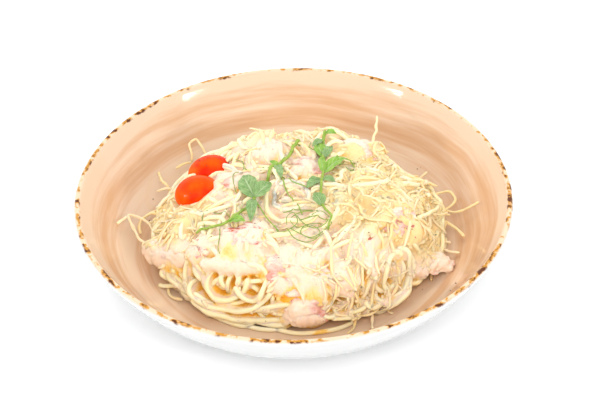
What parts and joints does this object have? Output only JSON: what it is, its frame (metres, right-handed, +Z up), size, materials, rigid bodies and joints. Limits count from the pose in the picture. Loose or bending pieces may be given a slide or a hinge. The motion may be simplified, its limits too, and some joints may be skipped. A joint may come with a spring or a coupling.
{
  "type": "spaghetti carbonara in a bowl",
  "caption": "Spaghetti carbonara with sauced bacon, grated cheese, cherry tomato halves and pea shoots, heaped in a wide coupe bowl of speckled glazed stoneware.",
  "frame": {"origin": "centre of the bowl's foot ring, on the table plane", "axes": "+Z up, the bowl's axis of turning; -Y towards the diner, +X to the diner's right"},
  "size_m": [0.2602, 0.2602, 0.0637],
  "materials": {
    "stoneware": "peach brushed glaze inside, white outside, brown broken rim, glossy",
    "pasta": "cream-coated cooked pasta, moist",
    "cheese": "grated pale hard cheese, half melted",
    "bacon": "pink bacon under cream sauce, moist",
    "sauce": "thick cream sauce, satin",
    "tomato": "wet cherry tomato skin, glossy",
    "pea_shoot": "fresh leaf, satin with a waxy bloom"
  },
  "bodies": {
    "root": {"bacon_back_left": "bacon", "bacon_centre": "bacon", "bacon_centre_left": "bacon", "bacon_front": "bacon", "bacon_left": "bacon", "bacon_left_red": "bacon", "bacon_low_right": "bacon", "bacon_right": "bacon", "bacon_right_slab": "bacon", "bacon_small_right": "bacon", "bacon_top_centre": "bacon", "bacon_top_right": "bacon", "bacon_upper_left": "bacon", "bowl": "stoneware", "grated_cheese_left": "cheese", "grated_cheese_right": "cheese", "pasta_heap": "pasta", "pea_shoot_left": "pea_shoot", "pea_shoot_right": "pea_shoot", "sauce_strip_left": "sauce", "tomato_half_back": "tomato", "tomato_half_front": "tomato"}
  },
  "joints": []
}
